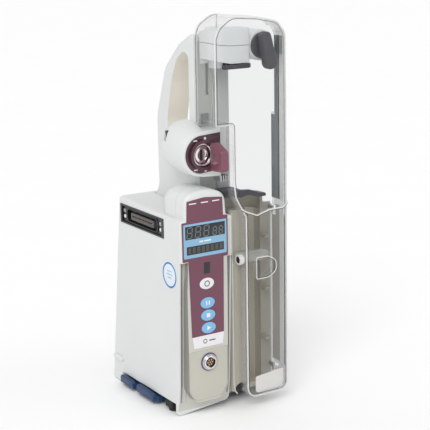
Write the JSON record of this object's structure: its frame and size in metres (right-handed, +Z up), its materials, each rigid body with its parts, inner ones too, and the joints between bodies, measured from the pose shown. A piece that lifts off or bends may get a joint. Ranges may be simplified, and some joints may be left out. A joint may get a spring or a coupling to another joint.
{
  "type": "syringe pump module",
  "caption": "Upright syringe pump module with keypad column, carrying handle, key lock, lead-screw drive head and clear swing door over the syringe channel.",
  "frame": {"origin": "centre of the bounding box at the table", "axes": "+Z up, the keypad and door face -Y, +X to the right seen from the front"},
  "size_m": [0.1204, 0.1612, 0.3836],
  "materials": {
    "white_plastic": "satin moulded",
    "beige_plastic": "satin moulded",
    "maroon_plastic": "printed film and moulded",
    "blue_print": "printed film",
    "key_blue": "embossed film",
    "key_white": "embossed film",
    "dark_window": "smoked window",
    "dark_grey_plastic": "satin moulded",
    "black_plastic": "moulded",
    "black_rubber": "moulded",
    "latch_blue": "moulded",
    "chrome": "polished",
    "steel": "machined",
    "brass": "machined",
    "clear_plastic": "clear polycarbonate",
    "circuit_board": "solder mask"
  },
  "bodies": {
    "pump": {"rear_case": "white_plastic", "base_plate": "dark_grey_plastic", "left_foot": "black_rubber", "right_foot": "black_rubber", "left_connector_housing": "black_plastic", "right_connector_housing": "black_plastic", "left_contact_block": "dark_grey_plastic", "right_contact_block": "dark_grey_plastic", "left_screw_front": "steel", "left_screw_rear": "steel", "front_bezel": "white_plastic", "connector_panel": "beige_plastic", "connector_ring": "blue_print", "connector_shell": "chrome", "connector_insert": "black_plastic", "keypad_overlay": "maroon_plastic", "display_frame": "blue_print", "upper_display_window": "dark_window", "lower_display_window": "dark_window", "infrared_window": "dark_window", "label_strip": "key_white", "side_label": "key_white", "tower_handle": "white_plastic", "tower_slot_seal": "dark_grey_plastic", "tower_pad": "dark_grey_plastic", "lock_housing": "white_plastic", "lock_escutcheon": "maroon_plastic", "lock_ring": "chrome", "latch_keeper": "black_plastic", "drive_motor": "dark_grey_plastic", "screw_bearing": "brass", "main_board": "circuit_board", "display_board": "circuit_board", "syringe_cradle": "beige_plastic", "barrel_collar": "beige_plastic", "flange_gripper": "dark_grey_plastic", "gripper_bracket": "beige_plastic", "lower_hinge_lug": "steel", "upper_hinge_lug": "steel"},
    "select_key": {"select_key": "key_white"},
    "pause_key": {"pause_key": "key_blue"},
    "channel_off_key": {"channel_off_key": "key_blue"},
    "restart_key": {"restart_key": "key_blue"},
    "release_latch": {"release_latch": "latch_blue"},
    "key_plug": {"key_plug": "chrome"},
    "latch_lever": {"latch_lever": "maroon_plastic"},
    "drive_head": {"head_upper_cover": "white_plastic", "head_lower_cover": "white_plastic", "gripper_housing": "white_plastic", "drive_post": "white_plastic", "drive_nut": "steel"},
    "gripper_control": {"gripper_dial": "dark_grey_plastic", "gripper_lever": "dark_grey_plastic"},
    "front_jaw": {"front_jaw": "dark_grey_plastic"},
    "rear_jaw": {"rear_jaw": "dark_grey_plastic"},
    "plunger_sensor": {"plunger_sensor": "black_plastic"},
    "lead_screw": {"lead_screw": "steel"},
    "barrel_clamp": {"barrel_clamp": "beige_plastic"},
    "clear_door": {"clear_door": "clear_plastic"}
  },
  "joints": [
    {"name": "select_press", "type": "slide", "parent": "pump", "child": "select_key", "axis": [0, 1, 0], "range_m": [0, 0.0007], "stiffness_N_per_m": 600},
    {"name": "pause_press", "type": "slide", "parent": "pump", "child": "pause_key", "axis": [0, 1, 0], "range_m": [0, 0.0007], "stiffness_N_per_m": 600},
    {"name": "channel_off_press", "type": "slide", "parent": "pump", "child": "channel_off_key", "axis": [0, 1, 0], "range_m": [0, 0.0007], "stiffness_N_per_m": 600},
    {"name": "restart_press", "type": "slide", "parent": "pump", "child": "restart_key", "axis": [0, 1, 0], "range_m": [0, 0.0007], "stiffness_N_per_m": 600},
    {"name": "release_latch_slide", "type": "slide", "parent": "pump", "child": "release_latch", "axis": [0, 1, 0], "range_m": [0, 0.004], "stiffness_N_per_m": 300},
    {"name": "key_turn", "type": "hinge", "parent": "pump", "child": "key_plug", "pos_m": [-0.02535, -0.05123, 0.256], "axis": [0, -1, 0], "range_deg": [0, 90]},
    {"name": "latch_turn", "type": "hinge", "parent": "pump", "child": "latch_lever", "pos_m": [-0.02535, -0.05123, 0.256], "axis": [0, -1, 0], "range_deg": [0, 90]},
    {"name": "drive_slide", "type": "slide", "parent": "pump", "child": "drive_head", "axis": [0, 0, -1], "range_m": [0, 0.045]},
    {"name": "screw_spin", "type": "hinge", "parent": "pump", "child": "lead_screw", "pos_m": [0.01115, -0.00923, 0.1], "axis": [0, 0, 1], "range_deg": [0, 2025.01]},
    {"name": "gripper_turn", "type": "hinge", "parent": "drive_head", "child": "gripper_control", "pos_m": [0.04155, -0.05123, 0.3532], "axis": [0, 1, 0], "range_deg": [0, 60], "stiffness_Nm_per_rad": 0.15},
    {"name": "front_jaw_swing", "type": "hinge", "parent": "drive_head", "child": "front_jaw", "pos_m": [0.00365, -0.05593, 0.334], "axis": [0, 0, -1], "range_deg": [0, 9]},
    {"name": "rear_jaw_swing", "type": "hinge", "parent": "drive_head", "child": "rear_jaw", "pos_m": [0.00365, -0.04953, 0.334], "axis": [0, 0, 1], "range_deg": [0, 9]},
    {"name": "sensor_press", "type": "slide", "parent": "drive_head", "child": "plunger_sensor", "axis": [0, 0, 1], "range_m": [0, 0.0018], "stiffness_N_per_m": 400},
    {"name": "clamp_pull", "type": "slide", "parent": "pump", "child": "barrel_clamp", "axis": [0, -1, 0], "range_m": [0, 0.004], "stiffness_N_per_m": 500},
    {"name": "door_swing", "type": "hinge", "parent": "pump", "child": "clear_door", "pos_m": [0.05515, -0.05573, 0.2], "axis": [0, 0, 1], "range_deg": [0, 100]}
  ],
  "couplings": [
    {"joint": "screw_spin", "follows": "drive_slide", "rad_per_m": 785.4},
    {"joint": "front_jaw_swing", "follows": "gripper_turn", "ratio": 0.15},
    {"joint": "rear_jaw_swing", "follows": "gripper_turn", "ratio": 0.15}
  ]
}
